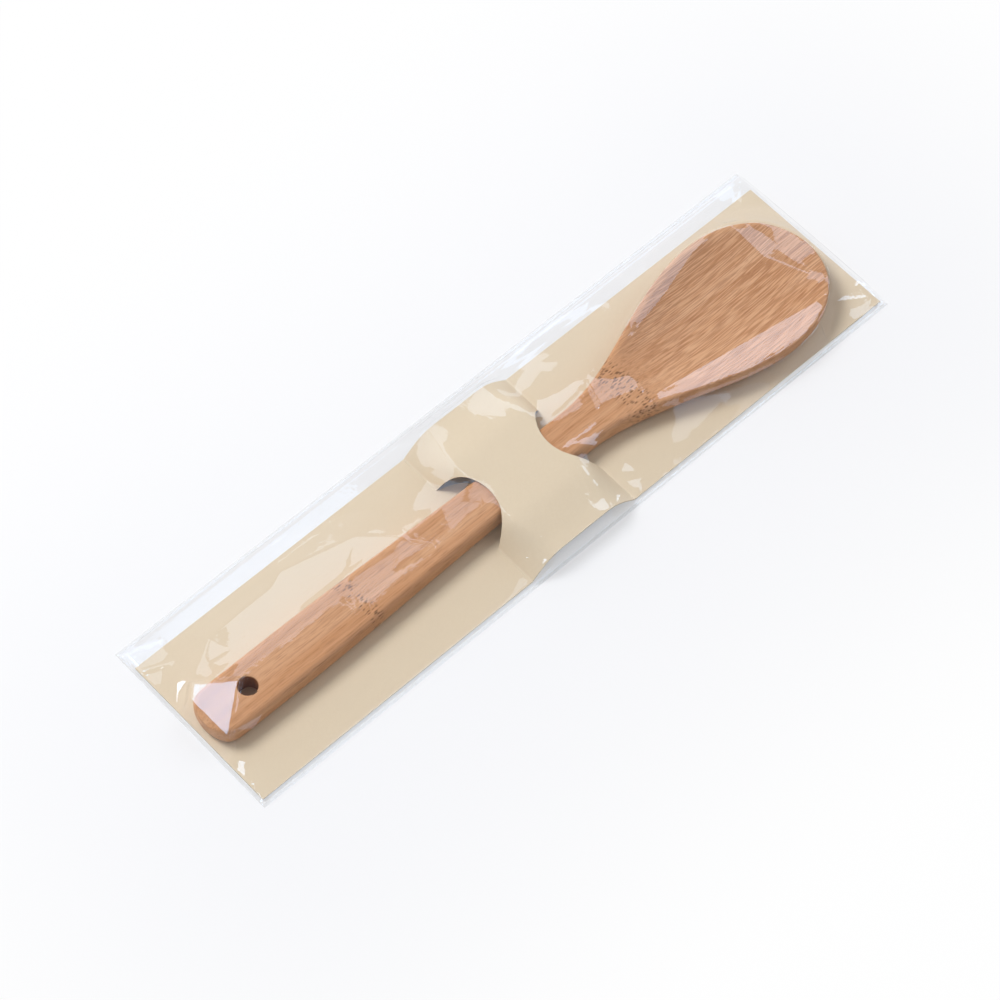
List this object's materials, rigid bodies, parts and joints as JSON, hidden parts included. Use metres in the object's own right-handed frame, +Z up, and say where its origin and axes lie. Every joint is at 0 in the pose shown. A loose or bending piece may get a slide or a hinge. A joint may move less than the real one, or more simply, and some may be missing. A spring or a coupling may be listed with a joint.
{
  "type": "spoon",
  "caption": "Bamboo cooking spoon with a dished oval bowl and a hanging hole, held under the raised bridge of a creased backing card in a clear film bag.",
  "frame": {"origin": "middle of the bag's underside, on the surface the pack lies on", "axes": "+X along the spoon from the handle's butt end to the bowl, +Z up out of the bowl's open side"},
  "size_m": [0.3112, 0.082, 0.0115],
  "materials": {
    "bamboo": "fine sanded bamboo, unvarnished",
    "card": "smooth uncoated cream card",
    "film": "clear glossy film"
  },
  "bodies": {
    "spoon": {"spoon": "bamboo"},
    "card": {"backing_card": "card"},
    "bag": {"bag_front_film": "film", "bag_back_film": "film"}
  },
  "joints": [
    {"name": "card_slide", "type": "slide", "parent": "spoon", "child": "card", "axis": [-1, 0, 0], "range_m": [0, 0.182], "deforming": ["bag_front_film"]},
    {"name": "bag_slide", "type": "slide", "parent": "card", "child": "bag", "axis": [-1, 0, 0], "range_m": [0, 0.325], "deforming": ["bag_front_film"]}
  ]
}
